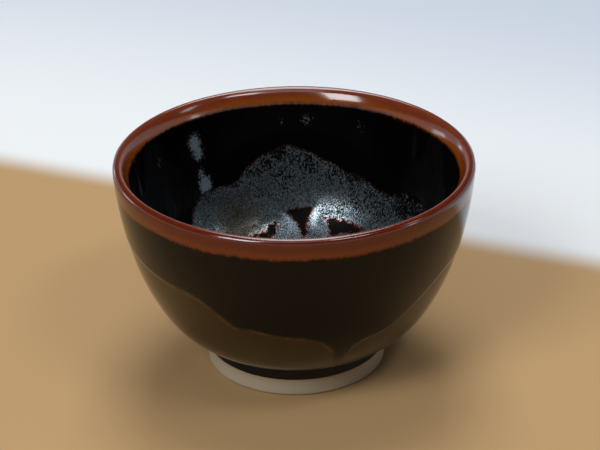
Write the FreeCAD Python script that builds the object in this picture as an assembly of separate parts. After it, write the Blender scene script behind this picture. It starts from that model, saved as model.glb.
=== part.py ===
"""Glazed porcelain sake cup. Millimetres, +Z up, origin at the middle of the foot's base.

The cup is a turned porcelain body and the coats of glaze fired onto it. Every coat follows the
wall under it, so the wall is described once, as a chain of tangent arcs in the (radius, height)
plane, and each coat lies between two offsets of that chain. The offsets are exact, so a coat
meets the body and its neighbours face to face.
"""
import FreeCAD, Part
import math
import os

os.makedirs("parts", exist_ok=True)
Vector = FreeCAD.Vector

# ---------------------------------------------------------------- driving sizes
# Finished sizes are measured over the glaze.
rim_radius = 33.0              # widest point, at the lip
cup_height = 40.55
lip_radius = 0.9               # rounding over the top of the lip
outer_lean = 3.6               # degrees from upright, outside, just below the lip
bevel_top_lean = 40.0          # degrees from upright, inside, where the lip's rounding ends
bevel_end_lean = 19.0          # the same, where the inner bevel has come down to the wall
bevel_radius = 7.0             # the inner bevel's gentle crown
wall_start_lean = 7.0          # degrees from upright, inside, where the wall begins
shoulder_radius = 3.0          # rounds the bevel's foot into the wall

# Outside wall, from the lip down: three tangent arcs.
upper_wall_radius = 75.0
belly_height = 23.5            # the upper wall arc ends here
belly_radius = 43.3
hip_height = 13.2              # the belly arc ends and the hip arc begins
hip_radius = 18.7

# Inside wall: one arc down to the waist, a hip arc that is solved, and a shallow well.
waist_height = 21.4            # where the wall's thickness is set
waist_wall = 2.5               # finished thickness there
well_radius = 80.0             # radius of curvature of the well's floor
floor_thickness = 4.2          # finished, between the well and the recess under the foot

# Foot ring.
foot_base_radius = 16.75       # where the foot's straight side would meet the table
foot_taper = 6.0               # degrees, the side leans in going up
foot_edge_round = 0.6          # softened outer edge at the table
foot_ring_width = 3.6          # at the table, before its edges are softened
recess_depth = 4.5
recess_taper = 14.0            # degrees, the recess narrows going up
recess_corner = 1.0            # rounding between the recess's side and its ceiling
recess_edge_round = 0.5

# Glaze coats.
first_coat = 0.25              # olive-brown coat outside
second_coat = 0.15             # black coat over it
foot_roll = 0.40               # thickness of the first coat where it stops on the foot
foot_bare_height = 3.3         # unglazed foot below the roll
corner_pool = 0.8              # radius of the glaze pooled between foot and wall
liner_coat = 0.40              # black coat inside
well_coat = 0.15               # crystal coat over the liner
lip_band_outside = 3.7         # height of the lip glaze, measured down from the top
# Tools that cut the coats' edges. Their two sizes give the feathered edge its slope.
ribbon_reach = 1.0             # how far the cutting ribbon stands off the wall on either side
ribbon_rise = 1.5              # how far it rises over that distance
window_reach = 3.0             # how far a window's cutting prism stands off the wall

# Lower edge of the black coat: (degrees round the cup, percent of the way up the outer wall).
# -90 is the front. The lowest point is the drip.
curtain_edge = [
    (-165, 68.2), (-148, 65.6), (-136, 64.0), (-125, 62.2), (-118.5, 56.9), (-113.5, 50.2),
    (-105, 48.3), (-95, 45.5), (-86, 43.3), (-80.5, 39.6), (-77.2, 32.7), (-75.2, 24.2),
    (-74.3, 13.6), (-71.8, 6.1), (-69.2, 13.6), (-68.6, 24.2), (-67.3, 32.1), (-64.5, 36.5),
    (-59, 38.8), (-52.5, 42.4), (-47, 48.0), (-40, 54.5), (-30, 60.9), (-14, 61.9), (4, 56.1),
    (24, 52.3), (44, 46.3), (56, 34.5), (66, 41.3), (82, 51.3), (104, 57.7), (128, 56.1),
    (152, 59.8), (176, 66.7),
]

# Upper edge of the crystal coat: (degrees round the cup, percent of the way up the inner wall).
crystal_edge = [
    (18, 69.6), (29, 72.8), (37, 73.8), (42, 72.0), (47, 69.6), (54, 70.6), (59, 72.4),
    (63, 74.0), (69, 74.6), (74, 77.2), (80, 79.2), (84, 81.4), (88, 82.4), (92, 84.5),
    (97, 82.5), (103, 80.2), (108, 77.2), (114, 71.9), (125, 70.8), (132, 69.4), (137, 66.0),
    (142, 59.4), (150, 57.4), (165, 60.2), (185, 56.8), (205, 60.7), (225, 55.4), (248, 58.3),
    (270, 54.3), (292, 59.7), (315, 57.3), (338, 62.0), (358, 61.1),
]

# Openings left in the crystal coat: corners as (degrees round the cup, percent up the wall).
crystal_windows = [
    [(113.5, 47.3), (106.5, 47.9), (102.9, 48.7), (102.9, 51.0), (98.2, 52.3), (99.5, 49.6),
     (100.7, 46.2), (106.5, 45.4)],
    [(94.2, 56.5), (88.5, 57.3), (82.4, 57.4), (84.2, 52.8), (83.9, 48.4), (85.0, 44.8),
     (87.8, 50.6), (91.0, 54.2)],
    [(75.0, 53.4), (66.0, 53.9), (56.2, 52.2), (60.0, 50.3), (65.0, 49.0), (70.0, 47.0),
     (71.8, 50.4)],
]


# ---------------------------------------------------------------- profile geometry
def around(centre, radius, angle):
    """The point at this angle on a circle."""
    return (centre[0] + radius * math.cos(angle), centre[1] + radius * math.sin(angle))


class Arc:
    """An arc of a wall's profile, whose centre is on the axis side of the wall."""

    def __init__(self, centre, radius, top_angle, bottom_angle):
        self.centre = centre
        self.radius = radius
        self.top_angle = top_angle
        self.bottom_angle = bottom_angle

    def length(self):
        return self.radius * (self.top_angle - self.bottom_angle)

    def point(self, angle, offset=0.0):
        return around(self.centre, self.radius + offset, angle)

    def angle_at_height(self, height):
        return math.asin((height - self.centre[1]) / self.radius)


def falling_arc(start, lean, radius, end_height):
    """The arc that leaves start at lean (radians from upright) and falls to end_height."""
    centre = (start[0] - radius * math.cos(lean), start[1] + radius * math.sin(lean))
    return Arc(centre, radius, -lean, math.asin((end_height - centre[1]) / radius))


def arc_through(start, lean, end):
    """The arc that leaves start at lean and passes through end."""
    across, down = end[0] - start[0], end[1] - start[1]
    radius = (across ** 2 + down ** 2) / (2 * (down * math.sin(lean) - across * math.cos(lean)))
    centre = (start[0] - radius * math.cos(lean), start[1] + radius * math.sin(lean))
    return Arc(centre, radius, -lean, math.atan2(end[1] - centre[1], end[0] - centre[0]))


def arc_into_well(start, lean, well_centre):
    """The arc that leaves start at lean and ends tangent to the well's floor."""
    inward = (-math.cos(lean), math.sin(lean))
    away = (start[0] - well_centre[0], start[1] - well_centre[1])
    along = away[0] * inward[0] + away[1] * inward[1]
    radius = (well_radius ** 2 - away[0] ** 2 - away[1] ** 2) / (2 * (along + well_radius))
    centre = (start[0] + radius * inward[0], start[1] + radius * inward[1])
    tangent_angle = math.atan2(centre[1] - well_centre[1], centre[0] - well_centre[0])
    return Arc(centre, radius, -lean, tangent_angle)


class Wall:
    """One side of the cup's wall: arcs from the lip down, and offsets of them."""

    def __init__(self, arcs):
        self.arcs = arcs

    def arc_at(self, height):
        for arc in self.arcs:
            if height >= arc.point(arc.bottom_angle)[1]:
                return arc
        return self.arcs[-1]

    def spot(self, height, offset):
        """The profile point at this height on the finished wall, moved off it by offset."""
        arc = self.arc_at(height)
        return arc.point(arc.angle_at_height(height), offset)

    def place(self, turn, percent):
        """Point, normal and upward tangent, this far up the wall and round the cup."""
        left = percent / 100 * sum(arc.length() for arc in self.arcs)
        for arc in reversed(self.arcs):
            if left <= arc.length():
                break
            left -= arc.length()
        angle = arc.bottom_angle + left / arc.radius
        return (swung(arc.point(angle), turn), swung(around((0, 0), 1, angle), turn),
                swung(around((0, 0), 1, angle + math.pi / 2), turn))

    def edges(self, offset, top_angle=None, bottom_angle=None):
        """Profile edges at an offset, from an angle on the first arc to one on the last."""
        made = []
        for arc in self.arcs:
            start = arc.top_angle
            end = arc.bottom_angle
            if arc is self.arcs[0] and top_angle is not None:
                start = top_angle
            if arc is self.arcs[-1] and bottom_angle is not None:
                end = bottom_angle
            made.append(curve(arc.centre, arc.radius + offset, start, end))
        return made


def profile_vector(point):
    return Vector(point[0], 0, point[1])


def swung(point, turn):
    """A profile point or direction, turned round the cup by turn degrees."""
    return FreeCAD.Rotation(Vector(0, 0, 1), turn).multVec(profile_vector(point))


def line(start, end):
    return Part.LineSegment(profile_vector(start), profile_vector(end)).toShape()


def curve(centre, radius, start_angle, end_angle):
    angles = (start_angle, (start_angle + end_angle) / 2, end_angle)
    return Part.Arc(*[profile_vector(around(centre, radius, a)) for a in angles]).toShape()


def turned(edges):
    """The solid of revolution of a closed profile."""
    wire = Part.Wire(Part.sortEdges(edges)[0])
    return Part.Face(wire).revolve(Vector(0, 0, 0), Vector(0, 0, 1), 360)


# ---------------------------------------------------------------- the two sides of the wall
glaze_outside = first_coat + second_coat
lip_centre = (rim_radius - lip_radius, cup_height - lip_radius)
lean_outside = math.radians(outer_lean)

outer_start = around(lip_centre, lip_radius, -lean_outside)
upper_arc = falling_arc(outer_start, lean_outside, upper_wall_radius, belly_height)
belly_arc = falling_arc(upper_arc.point(upper_arc.bottom_angle), -upper_arc.bottom_angle,
                        belly_radius, hip_height)
# The hip arc's lower end is set further down, where the pooled glaze takes over from it.
hip_arc = falling_arc(belly_arc.point(belly_arc.bottom_angle), -belly_arc.bottom_angle,
                      hip_radius, hip_height)

slope = math.radians(foot_taper)
ring_inside = foot_base_radius - foot_ring_width
ceiling_radius = ring_inside - recess_depth * math.tan(math.radians(recess_taper))


def foot_side(height, offset=0.0):
    """A point on the foot's straight side, or on a line offset outwards from it."""
    return (foot_base_radius - height * math.tan(slope) + offset / math.cos(slope), height)


def side_meets_hip(side_offset, wall_offset):
    """Where a line offset from the foot's side meets the hip arc's offset, over the foot."""
    reach = hip_arc.radius + wall_offset
    gap = foot_side(0, side_offset)[0] - hip_arc.centre[0]
    a = 1 + math.tan(slope) ** 2
    b = -2 * (gap * math.tan(slope) + hip_arc.centre[1])
    c = gap ** 2 + hip_arc.centre[1] ** 2 - reach ** 2
    height = (-b - math.sqrt(b ** 2 - 4 * a * c)) / (2 * a)
    return foot_side(height, side_offset)


def hip_angle(point):
    return math.atan2(point[1] - hip_arc.centre[1], point[0] - hip_arc.centre[0])


body_corner = side_meets_hip(0, -glaze_outside)
pool_centre = side_meets_hip(foot_roll + corner_pool, corner_pool - second_coat)
pool_angle = hip_angle(pool_centre)
hip_arc.bottom_angle = pool_angle
outer_wall = Wall([upper_arc, belly_arc, hip_arc])

# Over the lip: its rounding, the inner bevel and the shoulder below it are three tangent arcs
# with their centres inside the wall. Each ends where its normal has the next one's lean.
bevel_top = math.pi - math.radians(bevel_top_lean)
bevel_end = math.pi - math.radians(bevel_end_lean)
wall_start = math.pi - math.radians(wall_start_lean)
bevel_centre = around(around(lip_centre, lip_radius, bevel_top), -bevel_radius, bevel_top)
band_end = around(bevel_centre, bevel_radius, bevel_end)
shoulder_centre = around(band_end, -shoulder_radius, bevel_end)
inner_start = around(shoulder_centre, shoulder_radius, wall_start)
waist = outer_wall.spot(waist_height, -waist_wall)
rise_arc = arc_through(inner_start, math.radians(wall_start_lean), waist)
floor_height = recess_depth + floor_thickness
well_centre = (0, floor_height + well_radius)
inner_hip_arc = arc_into_well(waist, -rise_arc.bottom_angle, well_centre)
well_arc = Arc(well_centre, well_radius, inner_hip_arc.bottom_angle, -math.pi / 2)
inner_wall = Wall([rise_arc, inner_hip_arc, well_arc])

band_angle = upper_arc.angle_at_height(cup_height - lip_band_outside)


def lip_edges(depth):
    """The lip's rounding and the inner bevel, at a depth below the finished glaze."""
    return [curve(lip_centre, lip_radius - depth, -lean_outside, bevel_top),
            curve(bevel_centre, bevel_radius - depth, bevel_top, bevel_end)]


def shoulder_edge(depth):
    return curve(shoulder_centre, shoulder_radius - depth, bevel_end, wall_start)


# ---------------------------------------------------------------- porcelain body
def foot_and_recess_edges():
    """The bare profile from the corner under the wall, round the foot, to the axis."""
    corners = [body_corner, foot_side(0), (ring_inside, 0), (ceiling_radius, recess_depth),
               (0, recess_depth)]
    return [line(a, b) for a, b in zip(corners, corners[1:])]


def circles_at(solid, radius, height):
    """The solid's horizontal circular edges of this radius at this height."""
    near = 1e-3
    found = []
    for edge in solid.Edges:
        box = edge.BoundBox
        level = abs(box.ZMin - height) < near and abs(box.ZMax - height) < near
        if level and abs(box.XMax - radius) < near:
            found.append(edge)
    return found


def make_body():
    edges = outer_wall.edges(-glaze_outside, bottom_angle=hip_angle(body_corner))
    edges += foot_and_recess_edges()
    edges += [line((0, recess_depth), (0, floor_height - liner_coat))]
    edges += inner_wall.edges(liner_coat)
    edges += [shoulder_edge(liner_coat)] + lip_edges(liner_coat)
    body = turned(edges)
    for radius, height, rounding in ((foot_base_radius, 0, foot_edge_round),
                                     (ring_inside, 0, recess_edge_round),
                                     (ceiling_radius, recess_depth, recess_corner)):
        body = body.makeFillet(rounding, circles_at(body, radius, height))
    return body


# ---------------------------------------------------------------- coats of glaze
def across(arc, angle, outside, inside):
    """A coat's end: a straight line square through it, between two offsets of an arc."""
    return line(arc.point(angle, outside), arc.point(angle, inside))


def liner_end():
    """The joint between the lip glaze and the liner, square to the wall."""
    return line(band_end, around(bevel_centre, bevel_radius - liner_coat, bevel_end))


def make_lip_glaze():
    """The thin red-brown glaze over the lip, from the band outside to the bevel's foot."""
    edges = lip_edges(0) + lip_edges(liner_coat) + [liner_end()]
    for offset in (0, -glaze_outside):
        reach = upper_arc.radius + offset
        edges.append(curve(upper_arc.centre, reach, upper_arc.top_angle, band_angle))
    edges.append(across(upper_arc, band_angle, 0, -glaze_outside))
    return turned(edges)


def make_inner_glaze():
    edges = [liner_end(), line((0, floor_height), (0, floor_height - liner_coat))]
    for depth in (0, liner_coat):
        edges += [shoulder_edge(depth)] + inner_wall.edges(depth)
    return turned(edges)


def make_outer_glaze():
    """The first coat, pooled in the corner over the foot and stopped in a roll on its side."""
    roll_end = foot_side(foot_bare_height)
    roll_centre = around(roll_end, foot_roll, slope + math.pi / 2)
    roll_top = around(roll_centre, foot_roll, slope)
    pool_foot = around(pool_centre, -corner_pool, slope)
    pool_top_angle = pool_angle + math.pi
    edges = outer_wall.edges(-second_coat, top_angle=band_angle)
    edges += outer_wall.edges(-glaze_outside, top_angle=band_angle,
                              bottom_angle=hip_angle(body_corner))
    edges += [across(upper_arc, band_angle, -second_coat, -glaze_outside),
              curve(pool_centre, corner_pool, pool_top_angle, math.pi + slope),
              line(pool_foot, roll_top),
              curve(roll_centre, foot_roll, slope, slope - math.pi / 2),
              line(roll_end, body_corner)]
    return turned(edges)


def edge_ribbon(wall, stations):
    """A closed ribbon through the wall that follows a coat's edge all the way round.

    It rises going away from the axis, which feathers a coat outside that ends above it and a
    coat inside that ends below it.
    """
    rails = []
    for side in (-1, 1):
        points = []
        for station in stations:
            point, normal, upward = wall.place(*station)
            points.append(point + (normal * ribbon_reach + upward * ribbon_rise) * side)
        rail = Part.BSplineCurve()
        rail.interpolate(Points=points, PeriodicFlag=True)
        rails.append(rail.toShape())
    return Part.makeRuledSurface(*rails)


def split_by(coat, ribbon):
    """The pieces that the ribbon leaves of a coat, lowest first."""
    pieces, _ = coat.generalFuse([ribbon])
    return sorted(pieces.Solids, key=lambda piece: piece.BoundBox.ZMin)


def make_outer_overglaze():
    """The black coat: the wall's outermost layer, down to the curtain's edge."""
    edges = outer_wall.edges(0, top_angle=band_angle)
    edges += outer_wall.edges(-second_coat, top_angle=band_angle)
    edges += [across(upper_arc, band_angle, 0, -second_coat),
              across(hip_arc, pool_angle, 0, -second_coat)]
    return split_by(turned(edges), edge_ribbon(outer_wall, curtain_edge))[-1]


def make_window(corners):
    """A prism through the crystal coat, square to the wall at the window's middle."""
    middle_place = [sum(values) / len(corners) for values in zip(*corners)]
    middle, normal, _ = inner_wall.place(*middle_place)
    flat = []
    for corner in corners:
        point, _, _ = inner_wall.place(*corner)
        flat.append(point - normal * ((point - middle).dot(normal) + window_reach))
    outline = Part.BSplineCurve()
    outline.interpolate(Points=flat, PeriodicFlag=True)
    return Part.Face(Part.Wire(outline.toShape())).extrude(normal * 2 * window_reach)


def make_well_glaze():
    """The crystal coat: a layer on the liner below its wavy edge, with bare windows."""
    edges = inner_wall.edges(0) + inner_wall.edges(-well_coat)
    edges += [across(rise_arc, rise_arc.top_angle, 0, -well_coat),
              line((0, floor_height), (0, floor_height + well_coat))]
    coat = split_by(turned(edges), edge_ribbon(inner_wall, crystal_edge))[0]
    return coat.cut([make_window(corners) for corners in crystal_windows]).Solids[0]


nodes = {
    "porcelain_body": make_body(),
    "inner_glaze": make_inner_glaze(),
    "lip_glaze": make_lip_glaze(),
    "outer_glaze": make_outer_glaze(),
    "outer_overglaze": make_outer_overglaze(),
    "well_glaze": make_well_glaze(),
}

for name, shape in nodes.items():
    shape.exportStep("parts/%s.step" % name)
    print("%-16s solids %d  valid %s  volume %8.1f mm3" %
          (name, len(shape.Solids), shape.isValid(), shape.Volume))
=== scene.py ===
"""Looks for a glazed porcelain sake cup: the turned body and its five coats of glaze.

Metres, +Z up, origin at the middle of the foot's base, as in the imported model. Every piece is
turned about the Z axis. The two coats with wavy edges are turned first and then slid along the
wall to their edges.
"""

import math

import bpy
import numpy as np
from mathutils import Matrix, Vector


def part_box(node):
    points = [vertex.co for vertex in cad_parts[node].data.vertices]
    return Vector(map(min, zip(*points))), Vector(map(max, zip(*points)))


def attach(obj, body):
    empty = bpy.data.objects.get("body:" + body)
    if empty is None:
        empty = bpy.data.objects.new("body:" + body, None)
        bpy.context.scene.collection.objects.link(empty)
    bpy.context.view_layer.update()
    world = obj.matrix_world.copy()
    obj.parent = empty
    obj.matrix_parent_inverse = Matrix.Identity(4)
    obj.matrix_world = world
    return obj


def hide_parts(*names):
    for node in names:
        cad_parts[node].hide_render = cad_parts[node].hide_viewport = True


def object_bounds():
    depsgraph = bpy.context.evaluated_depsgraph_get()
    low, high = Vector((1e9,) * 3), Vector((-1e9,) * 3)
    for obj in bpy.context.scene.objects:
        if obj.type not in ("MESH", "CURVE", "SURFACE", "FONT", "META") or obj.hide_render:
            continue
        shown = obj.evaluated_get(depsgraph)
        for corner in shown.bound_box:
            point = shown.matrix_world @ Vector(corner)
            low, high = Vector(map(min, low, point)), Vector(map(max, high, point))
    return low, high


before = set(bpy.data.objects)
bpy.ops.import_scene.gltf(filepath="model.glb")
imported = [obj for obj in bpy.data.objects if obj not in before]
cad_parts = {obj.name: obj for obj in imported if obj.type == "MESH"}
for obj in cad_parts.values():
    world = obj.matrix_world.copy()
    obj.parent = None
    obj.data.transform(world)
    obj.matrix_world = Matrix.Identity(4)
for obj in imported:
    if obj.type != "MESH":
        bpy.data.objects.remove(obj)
cad_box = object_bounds()

# ---------------------------------------------------------------- sizes
# The cup's finished sizes are measured over the glaze, as in the part's source.
cup_height = cad_box[1].z
rim_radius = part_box("lip_glaze")[1].x
lip_radius = 0.0009
outer_lean = math.radians(3.6)
bevel_top_lean = math.radians(40.0)
bevel_end_lean = math.radians(19.0)
bevel_radius = 0.007
wall_start_lean = math.radians(7.0)
shoulder_radius = 0.003

upper_wall_radius = 0.075
belly_height = 0.0235
belly_radius = 0.0433
hip_height = 0.0132
hip_radius = 0.0187

waist_height = 0.0214
waist_wall = 0.0025
well_radius = 0.080
floor_thickness = 0.0042

foot_base_radius = 0.01675
foot_taper = math.radians(6.0)
foot_edge_round = 0.0006
foot_ring_width = 0.0036
recess_depth = 0.0045
recess_taper = math.radians(14.0)
recess_corner = 0.001
recess_edge_round = 0.0005

first_coat = 0.00025
second_coat = 0.00015
foot_roll = 0.0004
foot_bare_height = 0.0033
corner_pool = 0.0008
liner_coat = 0.0004
well_coat = 0.00015
lip_band_outside = 0.0037

curtain_bead = 0.0012          # how far in from its edge the black coat thickens
crystal_bead = 0.0025          # the same for the crystal coat, round its windows too
film = 0.00001                 # what is left of a coat where it has thinned to nothing

pole_radius = 0.0003           # where a turned profile stops short of the axis
same_place = 1e-6              # points nearer to each other than this are one
mm_per_metre = 1000

around_cup = 256               # vertices in a ring
around_coat = 720              # the same where a coat's edge runs in and out
ring_spacing = 0.0007
coat_smooth_angle = 60.0       # degrees: a coat is smooth all over
body_smooth_angle = 35.0       # the body keeps the corner under its glaze line

# Lower edge of the black coat: (degrees round the cup, percent of the way up the outer wall).
# -90 is the front. The lowest point is the drip.
curtain_edge = [
    (-165, 68.2), (-148, 65.6), (-136, 64.0), (-125, 62.2), (-118.5, 56.9), (-113.5, 50.2),
    (-105, 48.3), (-95, 45.5), (-86, 43.3), (-80.5, 39.6), (-77.2, 32.7), (-75.2, 24.2),
    (-74.3, 13.6), (-71.8, 6.1), (-69.2, 13.6), (-68.6, 24.2), (-67.3, 32.1), (-64.5, 36.5),
    (-59, 38.8), (-52.5, 42.4), (-47, 48.0), (-40, 54.5), (-30, 60.9), (-14, 61.9), (4, 56.1),
    (24, 52.3), (44, 46.3), (56, 34.5), (66, 41.3), (82, 51.3), (104, 57.7), (128, 56.1),
    (152, 59.8), (176, 66.7),
]

# Upper edge of the crystal coat: (degrees round the cup, percent of the way up the inner wall).
crystal_edge = [
    (18, 69.6), (29, 72.8), (37, 73.8), (42, 72.0), (47, 69.6), (54, 70.6), (59, 72.4),
    (63, 74.0), (69, 74.6), (74, 77.2), (80, 79.2), (84, 81.4), (88, 82.4), (92, 84.5),
    (97, 82.5), (103, 80.2), (108, 77.2), (114, 71.9), (125, 70.8), (132, 69.4), (137, 66.0),
    (142, 59.4), (150, 57.4), (165, 60.2), (185, 56.8), (205, 60.7), (225, 55.4), (248, 58.3),
    (270, 54.3), (292, 59.7), (315, 57.3), (338, 62.0), (358, 61.1),
]

# Openings left in the crystal coat: corners as (degrees round the cup, percent up the wall).
crystal_windows = [
    [(113.5, 47.3), (106.5, 47.9), (102.9, 48.7), (102.9, 51.0), (98.2, 52.3), (99.5, 49.6),
     (100.7, 46.2), (106.5, 45.4)],
    [(94.2, 56.5), (88.5, 57.3), (82.4, 57.4), (84.2, 52.8), (83.9, 48.4), (85.0, 44.8),
     (87.8, 50.6), (91.0, 54.2)],
    [(75.0, 53.4), (66.0, 53.9), (56.2, 52.2), (60.0, 50.3), (65.0, 49.0), (70.0, 47.0),
     (71.8, 50.4)],
]

# Dull spots in the black inside: (degrees, percent up the wall, reach in metres, strength).
liner_grey_spots = [
    (130.6, 90.8, 0.0017, 0.9), (129.6, 86.8, 0.0015, 0.8), (129.4, 77.8, 0.0013, 0.6),
    (128.6, 73.0, 0.0017, 0.95), (85.2, 94.2, 0.0013, 0.49), (94.8, 93.3, 0.0011, 0.34),
    (64.2, 94.0, 0.0011, 0.38), (150.5, 90.5, 0.0014, 0.38),
]


# ---------------------------------------------------------------- the cup's profile
def around(centre, radius, angle):
    """The point at this angle on a circle. Angles may be an array."""
    return centre[0] + radius * np.cos(angle), centre[1] + radius * np.sin(angle)


class Arc:
    """An arc of the profile in the (radius, height) plane, from an upper to a lower angle."""

    def __init__(self, centre, radius, top, bottom):
        self.centre = centre
        self.radius = radius
        self.top = top
        self.bottom = bottom

    def length(self):
        return self.radius * abs(self.top - self.bottom)

    def point(self, angle, offset=0.0):
        return around(self.centre, self.radius + offset, angle)

    def angle_at_height(self, height):
        return math.asin((height - self.centre[1]) / self.radius)

    def rings(self, offset=0.0, top=None, bottom=None):
        """Evenly spaced points from top to bottom."""
        start = self.top if top is None else top
        end = self.bottom if bottom is None else bottom
        steps = max(4, math.ceil(self.radius * abs(start - end) / ring_spacing))
        return [self.point(angle, offset) for angle in np.linspace(start, end, steps + 1)]


def falling_arc(start, lean, radius, end_height):
    """The arc that leaves start at lean (radians from upright) and falls to end_height."""
    centre = (start[0] - radius * math.cos(lean), start[1] + radius * math.sin(lean))
    return Arc(centre, radius, -lean, math.asin((end_height - centre[1]) / radius))


def arc_through(start, lean, end):
    """The arc that leaves start at lean and passes through end."""
    across, down = end[0] - start[0], end[1] - start[1]
    radius = (across ** 2 + down ** 2) / (2 * (down * math.sin(lean) - across * math.cos(lean)))
    centre = (start[0] - radius * math.cos(lean), start[1] + radius * math.sin(lean))
    return Arc(centre, radius, -lean, math.atan2(end[1] - centre[1], end[0] - centre[0]))


def arc_into_well(start, lean, well_centre):
    """The arc that leaves start at lean and ends tangent to the well's floor."""
    inward = (-math.cos(lean), math.sin(lean))
    away = (start[0] - well_centre[0], start[1] - well_centre[1])
    along = away[0] * inward[0] + away[1] * inward[1]
    radius = (well_radius ** 2 - away[0] ** 2 - away[1] ** 2) / (2 * (along + well_radius))
    centre = (start[0] + radius * inward[0], start[1] + radius * inward[1])
    tangent_angle = math.atan2(centre[1] - well_centre[1], centre[0] - well_centre[0])
    return Arc(centre, radius, -lean, tangent_angle)


glaze_outside = first_coat + second_coat
lip_centre = (rim_radius - lip_radius, cup_height - lip_radius)
upper_arc = falling_arc(around(lip_centre, lip_radius, -outer_lean), outer_lean,
                        upper_wall_radius, belly_height)
belly_arc = falling_arc(upper_arc.point(upper_arc.bottom), -upper_arc.bottom,
                        belly_radius, hip_height)
hip_arc = falling_arc(belly_arc.point(belly_arc.bottom), -belly_arc.bottom,
                      hip_radius, hip_height)
ring_inside = foot_base_radius - foot_ring_width
ceiling_radius = ring_inside - recess_depth * math.tan(recess_taper)


def foot_side(height, offset=0.0):
    """A point on the foot's straight side, or on a line offset outwards from it."""
    radius = foot_base_radius - height * math.tan(foot_taper) + offset / math.cos(foot_taper)
    return radius, height


def side_meets_hip(side_offset, wall_offset):
    """Where a line offset from the foot's side meets the hip arc's offset, over the foot."""
    reach = hip_arc.radius + wall_offset
    gap = foot_side(0, side_offset)[0] - hip_arc.centre[0]
    a = 1 + math.tan(foot_taper) ** 2
    b = -2 * (gap * math.tan(foot_taper) + hip_arc.centre[1])
    c = gap ** 2 + hip_arc.centre[1] ** 2 - reach ** 2
    return foot_side((-b - math.sqrt(b ** 2 - 4 * a * c)) / (2 * a), side_offset)


def hip_angle(point):
    return math.atan2(point[1] - hip_arc.centre[1], point[0] - hip_arc.centre[0])


body_corner = side_meets_hip(0, -glaze_outside)
pool_centre = side_meets_hip(foot_roll + corner_pool, corner_pool - second_coat)
pool_angle = hip_angle(pool_centre)
hip_arc.bottom = pool_angle
outer_wall = [upper_arc, belly_arc, hip_arc]
band_angle = upper_arc.angle_at_height(cup_height - lip_band_outside)

bevel_top = math.pi - bevel_top_lean
bevel_end = math.pi - bevel_end_lean
wall_start = math.pi - wall_start_lean
bevel_centre = around(around(lip_centre, lip_radius, bevel_top), -bevel_radius, bevel_top)
band_end = around(bevel_centre, bevel_radius, bevel_end)
shoulder_centre = around(band_end, -shoulder_radius, bevel_end)
lip_rounding = Arc(lip_centre, lip_radius, -outer_lean, bevel_top)
bevel = Arc(bevel_centre, bevel_radius, bevel_top, bevel_end)
shoulder = Arc(shoulder_centre, shoulder_radius, bevel_end, wall_start)
waist_arc = belly_arc if waist_height < belly_height else upper_arc
waist = waist_arc.point(waist_arc.angle_at_height(waist_height), -waist_wall)
rise_arc = arc_through(shoulder.point(wall_start), wall_start_lean, waist)
floor_height = recess_depth + floor_thickness
well_centre = (0, floor_height + well_radius)
inner_hip_arc = arc_into_well(waist, -rise_arc.bottom, well_centre)
well_arc = Arc(well_centre, well_radius, inner_hip_arc.bottom, -math.pi / 2)
inner_wall = [rise_arc, inner_hip_arc, well_arc]


def run_of(arcs, offset=0.0, top=None, bottom=None):
    """Ring places along a chain of arcs from the top down."""
    places = []
    for arc in arcs:
        start = top if arc is arcs[0] else None
        end = bottom if arc is arcs[-1] else None
        places += arc.rings(offset, start, end)[1 if places else 0:]
    return places


def wall_length(wall):
    return sum(arc.length() for arc in wall)


def lay(wall, share, offset):
    """Radius and height at each share of the way up a wall, moved off it by offset."""
    left = share * wall_length(wall)
    radius = np.zeros_like(left)
    height = np.zeros_like(left)
    for arc in reversed(wall):
        here = left >= -1e-12
        angle = arc.bottom + left / arc.radius
        r, z = arc.point(angle, offset)
        radius = np.where(here, r, radius)
        height = np.where(here, z, height)
        left = left - arc.length()
    return radius, height


# ---------------------------------------------------------------- turning a piece
def throw(name, rings, segments, closed):
    """A turned piece. One ring is drawn out and resized from each (radius, height) to the next.

    A closed profile comes back to its first ring. An open one starts and ends near the axis,
    and gets a pole at both ends.
    """
    rings = [(float(radius), float(height)) for radius, height in rings]
    bpy.ops.object.select_all(action="DESELECT")
    radius, height = rings[0]
    bpy.ops.mesh.primitive_circle_add(vertices=segments, radius=radius, location=(0, 0, height))
    piece = bpy.context.object
    piece.name = name
    bpy.ops.object.mode_set(mode="EDIT")
    bpy.ops.mesh.select_all(action="SELECT")
    for next_radius, next_height in rings[1:]:
        bpy.ops.mesh.extrude_region_move(
            TRANSFORM_OT_translate={"value": (0, 0, next_height - height)})
        scale = next_radius / radius
        bpy.ops.transform.resize(value=(scale, scale, 1), center_override=(0, 0, 0))
        radius, height = next_radius, next_height
    bpy.ops.mesh.select_all(action="SELECT")
    if closed:
        bpy.ops.mesh.remove_doubles(threshold=same_place)
    else:
        bpy.ops.mesh.fill_holes(sides=0)
        bpy.ops.mesh.select_all(action="DESELECT")
        bpy.ops.mesh.select_face_by_sides(number=segments)
        bpy.ops.mesh.poke()
        bpy.ops.mesh.select_all(action="SELECT")
    bpy.ops.mesh.normals_make_consistent(inside=False)
    bpy.ops.object.mode_set(mode="OBJECT")
    bpy.ops.object.transform_apply(location=True, rotation=True, scale=True)
    return piece


def finish_piece(piece, material, node, smooth_angle):
    """Smooths a piece, gives it its glaze and puts it in the place of its CAD node."""
    bpy.ops.object.select_all(action="DESELECT")
    piece.select_set(True)
    bpy.context.view_layer.objects.active = piece
    bpy.ops.object.shade_smooth_by_angle(angle=math.radians(smooth_angle))
    piece.data.name = piece.name
    piece.data.materials.append(material)
    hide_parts(node)
    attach(piece, "root")


def points_of(piece):
    """The places of a piece's vertices, one row each."""
    places = np.zeros(len(piece.data.vertices) * 3)
    piece.data.vertices.foreach_get("co", places)
    return places.reshape(-1, 3)


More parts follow.
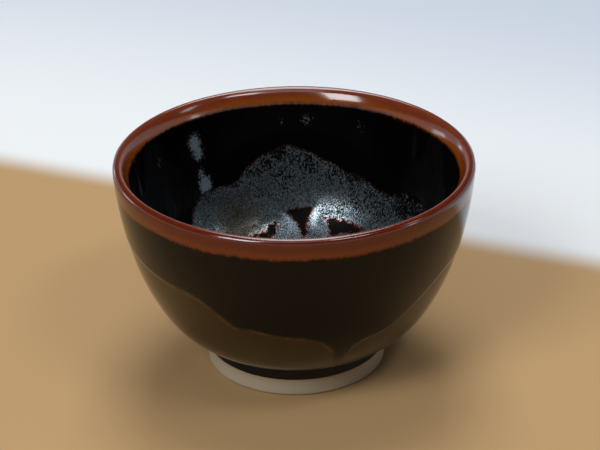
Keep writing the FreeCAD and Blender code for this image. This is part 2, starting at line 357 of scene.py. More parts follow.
def nearest_ring(places, rings):
    """For each place, the number of the ring that it is on."""
    radius = np.hypot(places[:, 0], places[:, 1])
    outwards = radius[:, None] - [ring_radius for ring_radius, _ in rings]
    upwards = places[:, 2:] - [ring_height for _, ring_height in rings]
    return (outwards ** 2 + upwards ** 2).argmin(axis=1)


def degrees_round(places):
    """Degrees round the cup, anticlockwise from its right. -90 is the front."""
    return np.degrees(np.arctan2(places[:, 1], places[:, 0]))


def write_attribute(piece, name, values):
    attribute = piece.data.attributes.new(name, "FLOAT", "POINT")
    attribute.data.foreach_set("value", np.asarray(values, np.float32))


def travelled(rings):
    """How far along the profile each ring is from the first."""
    steps = [math.dist(a, b) for a, b in zip(rings, rings[1:])]
    return np.concatenate([[0.0], np.cumsum(steps)])


# ---------------------------------------------------------------- wavy edges
def edge_curve(stations):
    """A smooth closed curve through (degrees, percent) stations, as a function of degrees.

    Between two stations it is a cubic with a slope at each. Stations from the other end of the
    list are added at both ends, so that it closes.
    """
    turns = np.array([turn for turn, _ in stations], float)
    shares = np.array([percent / 100 for _, percent in stations])
    turns = np.concatenate([turns[-2:] - 360, turns, turns[:3] + 360])
    shares = np.concatenate([shares[-2:], shares, shares[:3]])
    gap = np.diff(turns)
    rise = np.diff(shares) / gap
    slope = np.zeros_like(turns)
    slope[1:-1] = (gap[1:] * rise[:-1] + gap[:-1] * rise[1:]) / (gap[1:] + gap[:-1])

    def share_at(degrees):
        wrapped = (np.asarray(degrees) - turns[1]) % 360 + turns[1]
        k = np.clip(np.searchsorted(turns, wrapped, side="right") - 1, 0, len(turns) - 2)
        width = turns[k + 1] - turns[k]
        t = (wrapped - turns[k]) / width
        return ((1 + 2 * t) * (1 - t) ** 2 * shares[k] + t * (1 - t) ** 2 * width * slope[k]
                + t * t * (3 - 2 * t) * shares[k + 1] + t * t * (t - 1) * width * slope[k + 1])

    return share_at


def on_wall(wall, degrees, share, offset=0.0):
    """Places in space, by degrees round the cup and share of the way up the wall."""
    radius, height = lay(wall, share, offset)
    swing = np.radians(degrees)
    return np.stack([radius * np.cos(swing), radius * np.sin(swing), height], axis=1)


def edge_line(wall, share_at):
    """A coat's edge as a closed line of places on the wall."""
    degrees = np.linspace(-180, 180, around_coat, endpoint=False)
    return on_wall(wall, degrees, share_at(degrees))


def distance_to_line(places, line):
    """The distance from each place to a closed line of points, in metres."""
    nearest = np.full(len(places), np.inf)
    for start, end in zip(line, np.roll(line, -1, axis=0)):
        along = end - start
        t = np.clip((places - start) @ along / max(along @ along, 1e-18), 0, 1)
        apart = places - start - t[:, None] * along
        nearest = np.minimum(nearest, np.einsum("ij,ij->i", apart, apart))
    return np.sqrt(nearest)


def inside_outline(x, y, corners):
    """Which of the points are inside a closed outline of corners."""
    inside = np.zeros(len(x), bool)
    for (x0, y0), (x1, y1) in zip(corners, corners[1:] + corners[:1]):
        crosses = (y0 > y) != (y1 > y)
        side = np.where(crosses, (x1 - x0) * (y - y0) / ((y1 - y0) or 1e-9) + x0, np.inf)
        inside ^= crosses & (x < side)
    return inside


def cover_of(distance, bead, coat, at_edge, behind):
    """How far a coat stands off its wall, from the distance to its edge and windows.

    It is full past the bead, thins to a film, and is nothing at its outer edge and behind.
    """
    t = np.clip(distance / bead, 0, 1)
    thinned = t * t * (3 - 2 * t) * coat
    return np.where(behind, 0.0, np.where(at_edge, thinned, np.maximum(thinned, film)))


# ---------------------------------------------------------------- materials
def colour(code):
    """Linear colour from an sRGB hex value."""
    channels = [int(code[i:i + 2], 16) / 255 for i in (1, 3, 5)]
    linear = [c / 12.92 if c <= 0.04045 else ((c + 0.055) / 1.055) ** 2.4 for c in channels]
    return (*linear, 1.0)


def add(tree, kind, inputs, **settings):
    """Adds a node. An input is a value, or the output of another node."""
    made = tree.nodes.new(kind)
    for name, value in settings.items():
        setattr(made, name, value)
    for key, value in inputs.items():
        if isinstance(value, bpy.types.NodeSocket):
            tree.links.new(value, made.inputs[key])
        else:
            made.inputs[key].default_value = value
    return made


def per_mm(size):
    """Texture scale for a pattern of this size in millimetres."""
    return mm_per_metre / size


wet_roughness = 0.07
deep_black = colour("#050404")


def new_material(name):
    """A material with only its shader and output, and the tree to build it in."""
    material = bpy.data.materials.new(name)
    material.use_nodes = True
    tree = material.node_tree
    tree.nodes.clear()
    shader = add(tree, "ShaderNodeBsdfPrincipled", {})
    add(tree, "ShaderNodeOutputMaterial", {"Surface": shader.outputs["BSDF"]})
    return material, tree, shader


def object_place(tree, squeeze=(1, 1, 1)):
    """The place on the piece. A pattern is long along an axis that is squeezed."""
    place = add(tree, "ShaderNodeTexCoord", {})
    return add(tree, "ShaderNodeMapping",
               {"Vector": place.outputs["Object"], "Scale": squeeze}).outputs["Vector"]


def glaze_ripple(tree, shader, strength):
    """The orange-peel and slow swell of a glossy fired glaze, 1.3 mm and 7 mm across."""
    place = object_place(tree)
    fine = add(tree, "ShaderNodeTexNoise", {"Vector": place, "Scale": per_mm(1.3), "Detail": 1.0})
    slow = add(tree, "ShaderNodeTexNoise", {"Vector": place, "Scale": per_mm(7.0), "Detail": 0.0})
    both = add(tree, "ShaderNodeMath",
               {0: slow.outputs["Fac"], 1: 4.0, 2: fine.outputs["Fac"]}, operation="MULTIPLY_ADD")
    bump = add(tree, "ShaderNodeBump",
               {"Height": both.outputs[0], "Strength": strength, "Distance": 0.00002})
    tree.links.new(bump.outputs["Normal"], shader.inputs["Normal"])


def iron_glaze_colour(tree, black):
    """Iron glaze that breaks from black through orange to red-brown as it thins over the lip.

    It follows "band", the millimetres below the lip band's edge, pushed about by streaks that
    run down the wall.
    """
    band = add(tree, "ShaderNodeAttribute", {}, attribute_name="band").outputs["Fac"]
    streaks = add(tree, "ShaderNodeTexNoise",
                  {"Vector": object_place(tree, (1, 1, 0.3)), "Scale": per_mm(0.7), "Detail": 3.0})
    sway = add(tree, "ShaderNodeTexNoise",
               {"Vector": object_place(tree, (1, 1, 0)), "Scale": per_mm(9.0), "Detail": 1.0})
    streaked = add(tree, "ShaderNodeMath", {0: streaks.outputs["Fac"], 1: band})
    swayed = add(tree, "ShaderNodeMath",
                 {0: sway.outputs["Fac"], 1: 0.9, 2: streaked.outputs[0]},
                 operation="MULTIPLY_ADD")
    to_orange = add(tree, "ShaderNodeMapRange",
                    {"Value": swayed.outputs[0], "From Min": -0.9, "From Max": 0.5},
                    interpolation_type="SMOOTHSTEP")
    to_black = add(tree, "ShaderNodeMapRange",
                   {"Value": swayed.outputs[0], "From Min": 0.45, "From Max": 1.5},
                   interpolation_type="SMOOTHSTEP")
    mottle = add(tree, "ShaderNodeTexNoise",
                 {"Vector": object_place(tree), "Scale": per_mm(2.5), "Detail": 4.0})
    red = add(tree, "ShaderNodeMix",
              {0: mottle.outputs["Fac"], 6: colour("#5c240e"), 7: colour("#6e3018")},
              data_type="RGBA")
    warm = add(tree, "ShaderNodeMix",
               {0: to_orange.outputs[0], 6: red.outputs[2], 7: colour("#7c3a04")}, data_type="RGBA")
    return add(tree, "ShaderNodeMix",
               {0: to_black.outputs[0], 6: warm.outputs[2], 7: black}, data_type="RGBA").outputs[2]


def make_bare_porcelain():
    """Unglazed porcelain, biscuit-smooth off the wheel, with faint rings left by the turning tool.
    Its chalky warm white is drawn as a darker grey-beige, which is painted shade under the belly.
    Under the glaze line a darker tan band is painted shade as well. The clay's own grain is finer
    than shows, and is drawn 0.25 mm coarse."""
    material, tree, shader = new_material("bare_turned_porcelain")
    painted_shade_depth = 0.0009
    place = object_place(tree)
    clouds = add(tree, "ShaderNodeTexNoise", {"Vector": place, "Scale": per_mm(6.0), "Detail": 3.0})
    height = add(tree, "ShaderNodeSeparateXYZ", {"Vector": place}).outputs["Z"]
    # Painted shade: a darker tan band just under the glaze line.
    painted_shade_band = add(tree, "ShaderNodeMapRange",
                {"Value": height, "From Min": foot_bare_height - painted_shade_depth,
                 "From Max": foot_bare_height}, interpolation_type="SMOOTHSTEP")
    # The clay colours are darkened from warm white to grey-beige: painted shade under the belly.
    clay = add(tree, "ShaderNodeMix",
               {0: clouds.outputs["Fac"], 6: colour("#a39882"), 7: colour("#b3a994")},
               data_type="RGBA")
    painted_shade_amount = add(tree, "ShaderNodeMath", {0: painted_shade_band.outputs[0], 1: 0.45}, operation="MULTIPLY")
    body = add(tree, "ShaderNodeMix",
               {0: painted_shade_amount.outputs[0], 6: clay.outputs[2], 7: colour("#a3886a")}, data_type="RGBA")
    rings = add(tree, "ShaderNodeTexNoise", {"Vector": object_place(tree, (0.02, 0.02, 1)),
                                             "Scale": per_mm(0.45), "Detail": 2.0})
    grain = add(tree, "ShaderNodeTexNoise", {"Vector": place, "Scale": per_mm(0.25), "Detail": 2.0})
    relief = add(tree, "ShaderNodeMath",
                 {0: grain.outputs["Fac"], 1: 0.3, 2: rings.outputs["Fac"]},
                 operation="MULTIPLY_ADD")
    bump = add(tree, "ShaderNodeBump",
               {"Height": relief.outputs[0], "Strength": 0.5, "Distance": 0.00005})
    tree.links.new(body.outputs[2], shader.inputs["Base Color"])
    tree.links.new(bump.outputs["Normal"], shader.inputs["Normal"])
    shader.inputs["Roughness"].default_value = 0.72
    return material


def make_lip_glaze():
    """Tenmoku iron glaze where it runs thin over the lip: glossy persimmon red-brown. Outside the
    rim it is drawn darker and more orange brown, which is painted shade."""
    material, tree, shader = new_material("persimmon_lip_iron_glaze")
    shade_starts, shade_full = rim_radius - 0.0012, rim_radius - 0.0006
    radius = add(tree, "ShaderNodeVectorMath", {0: object_place(tree, (1, 1, 0))},
                 operation="LENGTH")
    outside = add(tree, "ShaderNodeMapRange", {"Value": radius.outputs["Value"],
                                               "From Min": shade_starts, "From Max": shade_full})
    # Painted shade: the colour is darkened and warmed outside the rim.
    tint = add(tree, "ShaderNodeMix",
               {0: outside.outputs[0], 6: colour("#ffffff"), 7: colour("#d8ac6c")},
               data_type="RGBA")
    iron = iron_glaze_colour(tree, colour("#070504"))
    iron_with_painted_shade = add(tree, "ShaderNodeMix", {0: 1.0, 6: iron, 7: tint.outputs[2]},
                 data_type="RGBA", blend_type="MULTIPLY")
    tree.links.new(iron_with_painted_shade.outputs[2], shader.inputs["Base Color"])
    glaze_ripple(tree, shader, 0.12)
    shader.inputs["Roughness"].default_value = 0.13
    shader.inputs["IOR"].default_value = 1.55
    return material


def make_black_glaze(name, ior):
    """Tenmoku iron glaze at full thickness: wet, deep black, with a soft ripple in it."""
    material, tree, shader = new_material(name)
    tree.links.new(iron_glaze_colour(tree, deep_black), shader.inputs["Base Color"])
    glaze_ripple(tree, shader, 0.3)
    shader.inputs["Roughness"].default_value = wet_roughness
    shader.inputs["IOR"].default_value = ior
    return material, tree, shader


def make_liner_glaze():
    """The black glaze inside, with a few dull blue-grey spots in it."""
    material, tree, shader = make_black_glaze("black_liner_iron_glaze", 1.45)
    grey_spot = add(tree, "ShaderNodeAttribute", {}, attribute_name="grey_spot").outputs["Fac"]
    grains = add(tree, "ShaderNodeTexNoise",
                 {"Vector": object_place(tree), "Scale": per_mm(0.45), "Detail": 3.0})
    pushed = add(tree, "ShaderNodeMath",
                 {0: grains.outputs["Fac"], 1: 1.1, 2: grey_spot}, operation="MULTIPLY_ADD")
    spotted = add(tree, "ShaderNodeMapRange",
                {"Value": pushed.outputs[0], "From Min": 0.85, "From Max": 1.35},
                interpolation_type="SMOOTHSTEP")
    glaze = shader.inputs["Base Color"].links[0].from_socket
    mixed = add(tree, "ShaderNodeMix",
                {0: spotted.outputs[0], 6: glaze, 7: colour("#5a666e")}, data_type="RGBA")
    satin = add(tree, "ShaderNodeMapRange",
                {"Value": spotted.outputs[0], "To Min": wet_roughness, "To Max": 0.4})
    tree.links.new(mixed.outputs[2], shader.inputs["Base Color"])
    tree.links.new(satin.outputs[0], shader.inputs["Roughness"])
    return material


def make_curtain_glaze():
    """The black second coat outside. At its lower edge it is a film, and breaks to tan-orange."""
    material, tree, shader = make_black_glaze("black_curtain_iron_glaze", 1.3)
    edge = add(tree, "ShaderNodeAttribute", {}, attribute_name="edge").outputs["Fac"]
    wander = add(tree, "ShaderNodeTexNoise",
                 {"Vector": object_place(tree), "Scale": per_mm(1.9), "Detail": 4.0})
    pushed = add(tree, "ShaderNodeMath",
                 {0: wander.outputs["Fac"], 1: -2.6, 2: edge}, operation="MULTIPLY_ADD")
    inside = add(tree, "ShaderNodeMapRange",
                 {"Value": pushed.outputs[0], "From Min": -1.5, "From Max": -0.1},
                 interpolation_type="SMOOTHSTEP")
    glaze = shader.inputs["Base Color"].links[0].from_socket
    mixed = add(tree, "ShaderNodeMix",
                {0: inside.outputs[0], 6: colour("#4d3310"), 7: glaze}, data_type="RGBA")
    tree.links.new(mixed.outputs[2], shader.inputs["Base Color"])
    return material


def make_olive_glaze():
    """The first iron coat outside, thin over the white body: dark olive-brown, with darker
    specks. Over the foot it turns to a duller black. Part of this is where it pools thicker in the
    corner, and part is painted shade under the belly."""
    material, tree, shader = new_material("olive_brown_iron_glaze")
    pool_shade_starts, pool_shade_full = body_corner[1] + 0.0045, body_corner[1] + 0.0008
    place = object_place(tree)
    clouds = add(tree, "ShaderNodeTexNoise", {"Vector": place, "Scale": per_mm(5.0), "Detail": 4.0})
    specks = add(tree, "ShaderNodeTexNoise", {"Vector": place, "Scale": per_mm(0.5), "Detail": 2.0})
    olive = add(tree, "ShaderNodeMix",
                {0: clouds.outputs["Fac"], 6: colour("#2c210a"), 7: colour("#3b2b10")},
                data_type="RGBA")
    speck = add(tree, "ShaderNodeMapRange",
                {"Value": specks.outputs["Fac"], "From Min": 0.60, "From Max": 0.72, "To Max": 0.5})
    speckled = add(tree, "ShaderNodeMix",
                   {0: speck.outputs[0], 6: olive.outputs[2], 7: colour("#171007")},
                   data_type="RGBA")
    height = add(tree, "ShaderNodeSeparateXYZ", {"Vector": place}).outputs["Z"]
    # Darker towards the corner over the foot: thick pooled glaze, and painted shade under the
    # belly.
    pooled = add(tree, "ShaderNodeMapRange",
                 {"Value": height, "From Min": pool_shade_starts, "From Max": pool_shade_full},
                 interpolation_type="SMOOTHSTEP")
    coat = add(tree, "ShaderNodeMix",
               {0: pooled.outputs[0], 6: speckled.outputs[2], 7: colour("#080604")},
               data_type="RGBA")
    tree.links.new(coat.outputs[2], shader.inputs["Base Color"])
    duller = add(tree, "ShaderNodeMapRange",
                 {"Value": pooled.outputs[0], "To Min": 0.1, "To Max": 0.4})
    tree.links.new(duller.outputs[0], shader.inputs["Roughness"])
    glaze_ripple(tree, shader, 0.3)
    shader.inputs["IOR"].default_value = 1.36
    return material


def make_crystal_glaze():
    """Iron crystals that grew in the glaze pooled in the well: a silvery blue-grey crust that
    shines like brushed metal. It is dense low in the well, and thins up the wall and to the right
    to grains on black glass, with one brown cloud at the left and a red-brown film at its edges.
    Real crystals are finer than show, so the grains are drawn 0.32 mm and their facets 0.22 mm."""
    material, tree, shader = new_material("silver_crystal_iron_glaze")
    brown_cloud = (-0.0105, 0.0212, 0.0158)
    place = object_place(tree)
    edge = add(tree, "ShaderNodeAttribute", {}, attribute_name="edge").outputs["Fac"]
    ragged = add(tree, "ShaderNodeTexNoise",
                 {"Vector": place, "Scale": per_mm(1.3), "Detail": 6.0, "Roughness": 0.75})
    pushed = add(tree, "ShaderNodeMath",
                 {0: ragged.outputs["Fac"], 1: -3.4, 2: edge}, operation="MULTIPLY_ADD")
    crust = add(tree, "ShaderNodeMapRange",
                {"Value": pushed.outputs[0], "From Min": -1.7, "From Max": -1.55})
    beyond_fringe = add(tree, "ShaderNodeMapRange",
                        {"Value": pushed.outputs[0], "From Min": -1.5, "From Max": -1.2})
    axes = add(tree, "ShaderNodeSeparateXYZ", {"Vector": place}).outputs
    low = add(tree, "ShaderNodeMapRange",
              {"Value": axes["Z"], "From Min": 0.025, "From Max": 0.015, "To Max": 0.24})
    to_right = add(tree, "ShaderNodeMapRange",
                   {"Value": axes["X"], "From Min": 0.006, "From Max": 0.020, "To Max": -0.16})
    grains = add(tree, "ShaderNodeTexNoise",
                 {"Vector": object_place(tree, (1, 1, 0.6)), "Scale": per_mm(0.32), "Detail": 2.0,
                  "Roughness": 0.6})
    clouds = add(tree, "ShaderNodeTexNoise", {"Vector": place, "Scale": per_mm(3.0), "Detail": 4.0})
    cover = add(tree, "ShaderNodeMath",
                {0: clouds.outputs["Fac"], 1: 0.45, 2: grains.outputs["Fac"]},
                operation="MULTIPLY_ADD")
    denser = add(tree, "ShaderNodeMath", {0: cover.outputs[0], 1: low.outputs[0]})
    thinned = add(tree, "ShaderNodeMath", {0: denser.outputs[0], 1: to_right.outputs[0]})
    grain = add(tree, "ShaderNodeMapRange",
                {"Value": thinned.outputs[0], "From Min": 0.66, "From Max": 0.92})
    here = add(tree, "ShaderNodeMath", {0: grain.outputs[0], 1: crust.outputs[0]},
               operation="MULTIPLY")
    from_cloud = add(tree, "ShaderNodeVectorMath",
                     {0: place, 1: brown_cloud}, operation="DISTANCE")
    brown = add(tree, "ShaderNodeMath",
                {0: clouds.outputs["Fac"], 1: -0.006, 2: from_cloud.outputs["Value"]},
                operation="MULTIPLY_ADD")
    blue = add(tree, "ShaderNodeMapRange",
               {"Value": brown.outputs[0], "From Min": -0.0005, "From Max": 0.004})
    cool = add(tree, "ShaderNodeMix",
               {0: blue.outputs[0], 6: colour("#686252"), 7: colour("#79858c")}, data_type="RGBA")
    facets = add(tree, "ShaderNodeTexNoise",
                 {"Vector": place, "Scale": per_mm(0.22), "Detail": 1.0})
    glint = add(tree, "ShaderNodeMapRange",
                {"Value": facets.outputs["Fac"], "From Min": 0.35, "From Max": 0.65})
    silver = add(tree, "ShaderNodeMix",
                 {0: glint.outputs[0], 6: colour("#30363b"), 7: cool.outputs[2]}, data_type="RGBA")
    fringe = add(tree, "ShaderNodeMix",
                 {0: beyond_fringe.outputs[0], 6: colour("#4a2218"), 7: silver.outputs[2]},
                 data_type="RGBA")
    coat = add(tree, "ShaderNodeMix",
               {0: here.outputs[0], 6: deep_black, 7: fringe.outputs[2]}, data_type="RGBA")
    metal = add(tree, "ShaderNodeMath", {0: here.outputs[0], 1: 0.88}, operation="MULTIPLY")
    satin = add(tree, "ShaderNodeMapRange",
                {"Value": here.outputs[0], "To Min": 0.4, "To Max": 0.25})
    bump = add(tree, "ShaderNodeBump",
               {"Height": here.outputs[0], "Strength": 0.35, "Distance": 0.00004})
    tree.links.new(coat.outputs[2], shader.inputs["Base Color"])
    tree.links.new(metal.outputs[0], shader.inputs["Metallic"])
    tree.links.new(satin.outputs[0], shader.inputs["Roughness"])
    tree.links.new(bump.outputs["Normal"], shader.inputs["Normal"])
    shader.inputs["Specular IOR Level"].default_value = 0.03
    return material


# ---------------------------------------------------------------- pieces
def round_corner(piece, corner, size, segments):
    """Rounds the turned edge that lies on a (radius, height) circle."""
    radius, height = corner
    bpy.ops.object.mode_set(mode="EDIT")
    bpy.ops.mesh.select_mode(type="EDGE")
    bpy.ops.mesh.select_all(action="DESELECT")
    bpy.ops.object.mode_set(mode="OBJECT")
    for edge in piece.data.edges:
        ends = [piece.data.vertices[v].co for v in edge.vertices]
        edge.select = all(abs(end.z - height) < same_place
                          and abs(end.xy.length - radius) < same_place for end in ends)
    bpy.ops.object.mode_set(mode="EDIT")
    bpy.ops.mesh.bevel(offset=size, segments=segments, profile=0.5)
    bpy.ops.object.mode_set(mode="OBJECT")


def make_body():
    """The turned porcelain, with its foot ring and the recess inside it."""
    inside_corner = (ring_inside, 0)
    ceiling_corner = (ceiling_radius, recess_depth)
    rings = [(pole_radius, recess_depth), (ceiling_radius * 0.5, recess_depth), ceiling_corner,
             ((ceiling_radius + ring_inside) / 2, recess_depth / 2), inside_corner,
             ((ring_inside + foot_base_radius) / 2, 0)]
    rings += [foot_side(body_corner[1] * share) for share in (0.0, 0.35, 0.7)] + [body_corner]
    rings += run_of(outer_wall, -glaze_outside, bottom=hip_angle(body_corner))[-2::-1]
    rings += run_of([lip_rounding, bevel, shoulder], -liner_coat)[1:]
    rings += run_of(inner_wall, liner_coat)[1:-1]
    rings.append((pole_radius, floor_height - liner_coat))
    piece = throw("thrown_body", rings, around_cup, closed=False)
    round_corner(piece, foot_side(0), foot_edge_round, 4)
    round_corner(piece, inside_corner, recess_edge_round, 4)
    round_corner(piece, ceiling_corner, recess_corner, 5)
    finish_piece(piece, make_bare_porcelain(), "porcelain_body",
                 body_smooth_angle)


def make_lip():
    """The red-brown coat over the lip, from its band outside to the foot of the inner bevel."""
    hidden_band = -3.0         # the back of the coat is red all over
    face = upper_arc.rings(0.0, bottom=band_angle)[::-1]
    face += run_of([lip_rounding, bevel])[1:]
    back = run_of([lip_rounding, bevel], -liner_coat)[::-1]
    back += upper_arc.rings(-glaze_outside, bottom=band_angle)[1:]
    piece = throw("lip_coat", face + back + face[:1], around_cup, closed=True)
    along = travelled(face)
    below = -mm_per_metre * np.minimum(along, along[-1] - along)
    ring = nearest_ring(points_of(piece), face + back)
    band = np.concatenate([below, np.full(len(back), hidden_band)])
    write_attribute(piece, "band", band[ring])
    finish_piece(piece, make_lip_glaze(), "lip_glaze", coat_smooth_angle)


def make_liner():
    """The black coat inside."""
    hidden_band = 5.0          # the back of the coat is black all over
    spot_height = 0.7         # under 1, a spot is taller than it is wide
    face = run_of([shoulder] + inner_wall)[:-1] + [(pole_radius, floor_height)]
    back = [(pole_radius, floor_height - liner_coat)]
    back += (shoulder.rings(-liner_coat) + run_of(inner_wall, liner_coat)[1:-1])[::-1]
    piece = throw("liner_coat", face[::-1] + back[::-1], around_cup, closed=False)
    places = points_of(piece)
    ring = nearest_ring(places, face + back)
    band = np.concatenate([mm_per_metre * travelled(face), np.full(len(back), hidden_band)])
    write_attribute(piece, "band", band[ring])
    spotting = np.zeros(len(places))
    for turn, percent, reach, strength in liner_grey_spots:
        middle = on_wall(inner_wall, np.array([turn]), np.array([percent / 100]))[0]
        apart = places - middle
        apart[:, 2] *= spot_height
        near = np.exp(-(np.linalg.norm(apart, axis=1) / reach) ** 2)
        spotting = np.maximum(spotting, strength * near)
    write_attribute(piece, "grey_spot", spotting)
    finish_piece(piece, make_liner_glaze(), "inner_glaze", coat_smooth_angle)


def make_first_coat():
    """The olive coat outside, with its pool over the foot and the roll where it stops."""
    roll_end = foot_side(foot_bare_height)
    roll_centre = around(roll_end, foot_roll, foot_taper + math.pi / 2)
    face = run_of(outer_wall, -second_coat, top=band_angle)
    face += [around(pool_centre, corner_pool, angle)
             for angle in np.linspace(pool_angle + math.pi, math.pi + foot_taper, 10)[1:]]
    face += [around(roll_centre, foot_roll, angle)
             for angle in np.linspace(foot_taper, foot_taper - math.pi / 2, 8)]
    back = [body_corner] + run_of(outer_wall, -glaze_outside, top=band_angle,
                                  bottom=hip_angle(body_corner))[-2::-1]
    piece = throw("first_coat", face + back + face[:1], around_cup, closed=True)
    finish_piece(piece, make_olive_glaze(), "outer_glaze", coat_smooth_angle)


def make_curtain():
    """The black coat over it: turned to a level edge, then slid down or up the wall to its own."""
    turned_edge = 0.5          # share of the way up the wall where its level edge is turned
    bead_starts = 0.9          # past this share of the way to its edge its rings lie closer
    length = wall_length(outer_wall)
    top = 1 - upper_arc.radius * (upper_arc.top - band_angle) / length
    share_at = edge_curve(curtain_edge)
    face_rows = np.concatenate([np.linspace(0, bead_starts, 28),
                                np.linspace(bead_starts, 1, 10)[1:]])
    back_rows = np.linspace(1, 0, 14)[1:]
    face = list(zip(*lay(outer_wall, top + (turned_edge - top) * face_rows, 0.0)))
    back = list(zip(*lay(outer_wall, top + (turned_edge - top) * back_rows, -second_coat)))
    piece = throw("curtain_coat", face + back + face[:1], around_coat, closed=True)
    places = points_of(piece)
    degrees = degrees_round(places)
    ring = nearest_ring(places, face + back)
    row = np.concatenate([face_rows, back_rows])[ring]
    share = top + (share_at(degrees) - top) * row
    distance = distance_to_line(on_wall(outer_wall, degrees, share),
                                edge_line(outer_wall, share_at))
    cover = cover_of(distance, curtain_bead, second_coat, row == 1, ring >= len(face))
    moved = on_wall(outer_wall, degrees, share, cover - second_coat)
    piece.data.vertices.foreach_set("co", moved.ravel())
    write_attribute(piece, "edge", mm_per_metre * distance)
    write_attribute(piece, "band", mm_per_metre * length * (top - share))
    finish_piece(piece, make_curtain_glaze(), "outer_overglaze",
                 coat_smooth_angle)


def make_crystal_coat():
    """The crystal coat in the well: a disc on the floor and wall, thinned at its edge and round
    its windows, where the black liner shows through."""
    turned_edge = 0.68         # share of the way up the wall where its level edge is turned
    innermost = 0.012          # the row next to the pole
    share_at = edge_curve(crystal_edge)
    face_rows = np.concatenate([[innermost], np.linspace(0.03, 1, 96)])
    back_rows = np.concatenate([np.linspace(1, 0.04, 30)[1:], [innermost]])
    face = list(zip(*lay(inner_wall, turned_edge * face_rows, -well_coat)))
    back = list(zip(*lay(inner_wall, turned_edge * back_rows, 0.0)))
    piece = throw("crystal_coat", face + back, around_coat // 2, closed=False)
    places = points_of(piece)
    degrees = degrees_round(places)
    ring = nearest_ring(places, face + back)
    pole = np.hypot(places[:, 0], places[:, 1]) < same_place
    row = np.where(pole, 0.0, np.concatenate([face_rows, back_rows])[ring])
    behind = np.where(pole, places[:, 2] < floor_height + well_coat / 2, ring >= len(face))
    share = share_at(degrees) * row
    surface = on_wall(inner_wall, degrees, share)
    distance = distance_to_line(surface, edge_line(inner_wall, share_at))
    for corners in crystal_windows:
        turns, percents = np.array(corners, float).T
        to_window = distance_to_line(surface, on_wall(inner_wall, turns, percents / 100))
        within = inside_outline(degrees, share * 100, corners)
        distance = np.minimum(distance, np.where(within, -to_window, to_window))
    cover = cover_of(distance, crystal_bead, well_coat, row == 1, behind)
    piece.data.vertices.foreach_set("co", on_wall(inner_wall, degrees, share, -cover).ravel())
    write_attribute(piece, "edge", mm_per_metre * distance)
    finish_piece(piece, make_crystal_glaze(), "well_glaze", coat_smooth_angle)


make_body()
make_lip()
make_liner()
make_first_coat()
make_curtain()
make_crystal_coat()


# ---------------------------------------------------------------- floor and backdrop
def make_floor_material():
    """Matt painted board: warm and pale under the cup, paler past a line that runs slantwise
    behind it. Far off it turns to the backdrop's even cool grey, which doesn't depend on lamps."""
    material, tree, shader = new_material("pale_floor_and_backdrop")
    across_line = (0.379, 0.925, 0.0)
    line_starts, line_ends = 0.049, 0.060
    cool_starts, cool_full = 0.07, 0.20
    far_starts, far_full = 0.22, 0.7
    far_grey = colour("#bdc6d1")
    place = object_place(tree)
    past = add(tree, "ShaderNodeVectorMath", {0: place, 1: across_line},
               operation="DOT_PRODUCT").outputs["Value"]
    away = add(tree, "ShaderNodeVectorMath", {0: place}, operation="LENGTH").outputs["Value"]
    beyond = add(tree, "ShaderNodeMapRange",
                 {"Value": past, "From Min": line_starts, "From Max": line_ends},
                 interpolation_type="SMOOTHSTEP")
    cooler = add(tree, "ShaderNodeMapRange",
                 {"Value": past, "From Min": cool_starts, "From Max": cool_full},
                 interpolation_type="SMOOTHSTEP")
    far = add(tree, "ShaderNodeMapRange",
              {"Value": away, "From Min": far_starts, "From Max": far_full},
              interpolation_type="SMOOTHSTEP")
    tone = add(tree, "ShaderNodeMix",
               {0: beyond.outputs[0], 6: colour("#ab8b61"), 7: colour("#dcdfe0")},
               data_type="RGBA")
    cool = add(tree, "ShaderNodeMix",
               {0: cooler.outputs[0], 6: tone.outputs[2], 7: far_grey}, data_type="RGBA")
    tree.links.new(cool.outputs[2], shader.inputs["Base Color"])
    shader.inputs["Roughness"].default_value = 0.8
    shader.inputs["Specular IOR Level"].default_value = 0.2
    rays = add(tree, "ShaderNodeLightPath", {}).outputs
    mirrored = add(tree, "ShaderNodeMath",
                   {0: rays["Is Camera Ray"], 1: rays["Is Glossy Ray"]}, operation="MAXIMUM")
    seen = add(tree, "ShaderNodeMath",
               {0: mirrored.outputs[0], 1: rays["Is Transmission Ray"]}, operation="MAXIMUM")
    even = add(tree, "ShaderNodeMath", {0: seen.outputs[0], 1: far.outputs[0]},
               operation="MULTIPLY")
    glow = add(tree, "ShaderNodeEmission", {"Color": far_grey, "Strength": 1.0})
    both = add(tree, "ShaderNodeMixShader",
               {0: even.outputs[0], 1: shader.outputs[0], 2: glow.outputs[0]})
    surface = tree.nodes["Material Output"].inputs["Surface"]
    tree.links.new(both.outputs[0], surface)
    return material


backdrop_distance = 5.0
backdrop_height = 1.7
floor_material = make_floor_material()
bpy.ops.object.select_all(action="DESELECT")
bpy.ops.mesh.primitive_plane_add(size=2 * backdrop_distance)
floor = bpy.context.object
floor.name = "floor"
bpy.ops.mesh.primitive_cylinder_add(radius=backdrop_distance, depth=backdrop_height, vertices=96,
                                    end_fill_type="NOTHING", location=(0, 0, backdrop_height / 2))
backdrop = bpy.context.object
backdrop.name = "backdrop"
bpy.ops.object.transform_apply(location=True)
for surface in (floor, backdrop):
    surface.data.materials.append(floor_material)


# ---------------------------------------------------------------- light
lamp_distance = 0.9


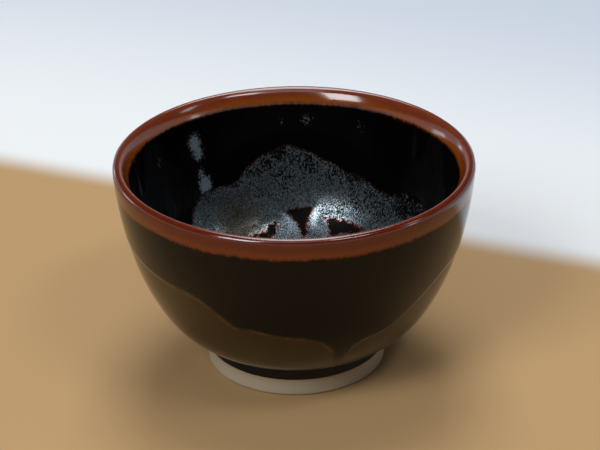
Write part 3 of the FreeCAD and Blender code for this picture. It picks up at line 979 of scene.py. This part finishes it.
def add_softbox(name, azimuth, elevation, wide, high, brightness, tint="#ffffff"):
    """A soft rectangular lamp facing the cup, as wide and high as it looks from the cup.

    Angles are in degrees, azimuth 0 in front of the cup and 90 to its right. A mirror in the
    cup's place would show the lamp at this brightness, where 1 is white.
    """
    turn, rise = math.radians(azimuth), math.radians(elevation)
    level = math.cos(rise)
    towards = Vector((math.sin(turn) * level, -math.cos(turn) * level, math.sin(rise)))
    lamp = bpy.data.lights.new(name, "AREA")
    lamp.shape = "RECTANGLE"
    lamp.size = 2 * lamp_distance * math.tan(math.radians(wide / 2))
    lamp.size_y = 2 * lamp_distance * math.tan(math.radians(high / 2))
    lamp.energy = brightness * math.pi * lamp.size * lamp.size_y
    lamp.color = colour(tint)[:3]
    holder = bpy.data.objects.new(name, lamp)
    holder.location = Vector((0, 0, cup_height / 2)) + towards * lamp_distance
    holder.rotation_euler = towards.to_track_quat("Z", "Y").to_euler()
    bpy.context.scene.collection.objects.link(holder)


add_softbox("overhead_softbox", 180, 67, 22, 44, 7.8, "#fbfcff")
add_softbox("front_overhead_panel", 5, 64, 34, 22, 1.3, "#f4f8ff")
add_softbox("front_left_window", -38, 41, 20, 22, 13.5)
add_softbox("front_right_lamp", 47, 58, 17, 8, 12.0)
add_softbox("right_window", 84, 37, 8, 12, 4.5, "#eef4ff")
add_softbox("low_right_window", 73, 12, 6, 9, 6.0, "#eef4ff")
add_softbox("left_window", -117, 5, 13, 10, 3.6, "#eef4ff")
add_softbox("far_left_window", -144, 6, 5, 8, 3.0, "#eef4ff")

world = bpy.data.worlds.new("studio")
bpy.context.scene.world = world
world.use_nodes = True
sky = world.node_tree
sky.nodes.clear()
glow = add(sky, "ShaderNodeBackground", {"Color": colour("#dfe6ee"), "Strength": 0.05})
add(sky, "ShaderNodeOutputWorld", {"Surface": glow.outputs[0]})


# ---------------------------------------------------------------- camera
def add_camera():
    """A camera 28 degrees above the table and 400 mm away, with a long lens.

    It stands in front of the cup and is turned a little off the aim.
    """
    elevation = math.radians(28.09)
    reach = 0.400
    aim = Vector((0, 0, 0.020))
    yaw, pitch, roll = (math.radians(angle) for angle in (-0.14, 0.85, 0.70))
    focal_length, sensor_width = 128.9, 36     # millimetres
    from_aim = Vector((0, -math.cos(elevation), math.sin(elevation)))
    across = Vector((1, 0, 0))
    upward = from_aim.cross(across)
    turn = Matrix.Rotation(yaw, 3, upward)
    back, across = turn @ from_aim, turn @ across
    tilt = Matrix.Rotation(pitch, 3, across)
    back, upward = tilt @ back, tilt @ upward
    lean = Matrix.Rotation(roll, 3, -back)
    across, upward = lean @ across, lean @ upward
    lens = bpy.data.cameras.new("camera")
    lens.lens = focal_length
    lens.sensor_width = sensor_width
    camera = bpy.data.objects.new("camera", lens)
    turned = Matrix((across, upward, back)).transposed().to_4x4()
    camera.matrix_world = Matrix.Translation(aim + from_aim * reach) @ turned
    bpy.context.scene.collection.objects.link(camera)
    bpy.context.scene.camera = camera


add_camera()
bpy.context.scene.view_settings.view_transform = "Standard"
